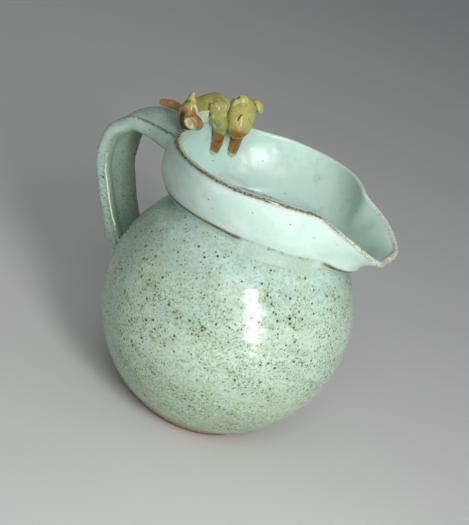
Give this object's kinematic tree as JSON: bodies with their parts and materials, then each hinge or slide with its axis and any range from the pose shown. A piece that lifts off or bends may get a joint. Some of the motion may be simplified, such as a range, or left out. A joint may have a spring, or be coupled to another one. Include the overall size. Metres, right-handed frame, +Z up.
{
  "type": "stoneware jug with a sleeping bear on the rim",
  "caption": "Round thrown stoneware jug with a wide spout collar, a pulled strap handle and a small clay bear asleep over the rim beside the handle, in pale speckled glaze.",
  "frame": {"origin": "centre of the flat base, under the jug's own turning axis", "axes": "+X towards the spout, -X towards the handle, +Z up, base resting on z = 0; +Y is the jug's left when seen from behind the handle"},
  "size_m": [0.1254, 0.1, 0.1205],
  "materials": {
    "body_glaze": "gloss pale grey-green stoneware glaze with dense fine brown iron specks and bare brown clay at the foot",
    "collar_glaze": "gloss pale blue-white glaze that breaks to brown on the rim and on the lower edge",
    "handle_glaze": "gloss pale blue-green glaze, speckled towards the lower end",
    "bear_glaze": "gloss olive-ochre glaze with darker creases",
    "toasted_clay": "thin red-brown toasted glaze on the legs"
  },
  "bodies": {
    "root": {"thrown_body": "body_glaze", "spout_collar": "collar_glaze", "handle": "handle_glaze", "bear_torso": "bear_glaze", "bear_head": "bear_glaze", "bear_ear_near": "bear_glaze", "bear_ear_far": "bear_glaze", "bear_foreleg_near": "toasted_clay", "bear_foreleg_far": "toasted_clay", "bear_hind_leg_near": "toasted_clay", "bear_hind_leg_far": "toasted_clay", "bear_tail": "bear_glaze"}
  },
  "joints": []
}
